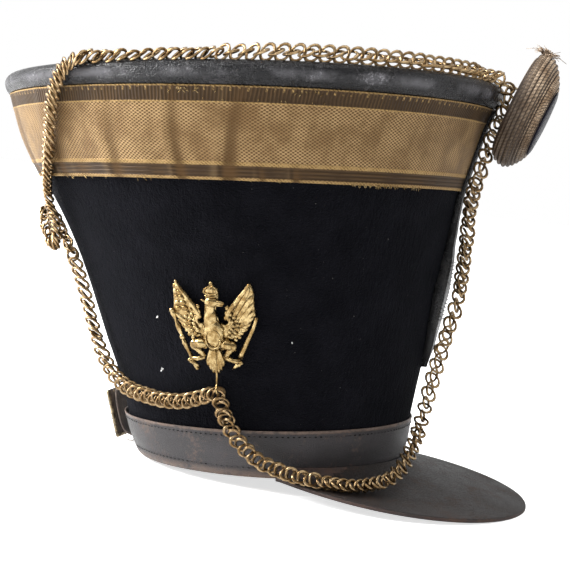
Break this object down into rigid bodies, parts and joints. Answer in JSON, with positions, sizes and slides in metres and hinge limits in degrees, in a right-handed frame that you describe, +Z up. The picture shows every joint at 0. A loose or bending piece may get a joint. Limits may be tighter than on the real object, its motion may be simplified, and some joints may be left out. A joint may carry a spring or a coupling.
{
  "type": "bell-topped shako hat",
  "caption": "Bell-topped military shako with gold lace, leather peak and headband, side eagle badge, chin chain and wound-cord field badge.",
  "frame": {"origin": "middle of the standing hat's box, on the surface it stands on", "axes": "+X to the front along the hat's length, +Y to the wearer's left, +Z up"},
  "size_m": [0.3794, 0.3154, 0.2978],
  "materials": {
    "cloth": "black felted wool with a faint blue cast",
    "black_leather": "black polished leather, scuffed and finely crazed",
    "brown_leather": "dark grained leather worn brown at its edges",
    "gold_lace": "dulled gold wire lace with brown ribbed borders",
    "silver_cord": "tarnished silver wire cord",
    "velvet": "black velvet",
    "gilt": "bright gilt brass",
    "aged_brass": "aged brass wire",
    "iron": "dull iron with brassy edges"
  },
  "bodies": {
    "root": {"crown_body": "cloth", "crown_top": "black_leather", "top_rim": "black_leather", "lace_band": "gold_lace", "head_band": "brown_leather", "peak": "brown_leather", "front_loop": "black_leather", "pompom": "silver_cord", "pompom_face": "velvet", "pompom_stem": "iron", "eagle_badge": "gilt", "chain_back": "aged_brass", "chain_swag": "aged_brass", "chain_front": "aged_brass", "chain_rim": "aged_brass", "chain_fall": "aged_brass", "chain_bunch": "aged_brass", "back_strap": "brown_leather", "back_buckle": "iron"}
  },
  "joints": []
}
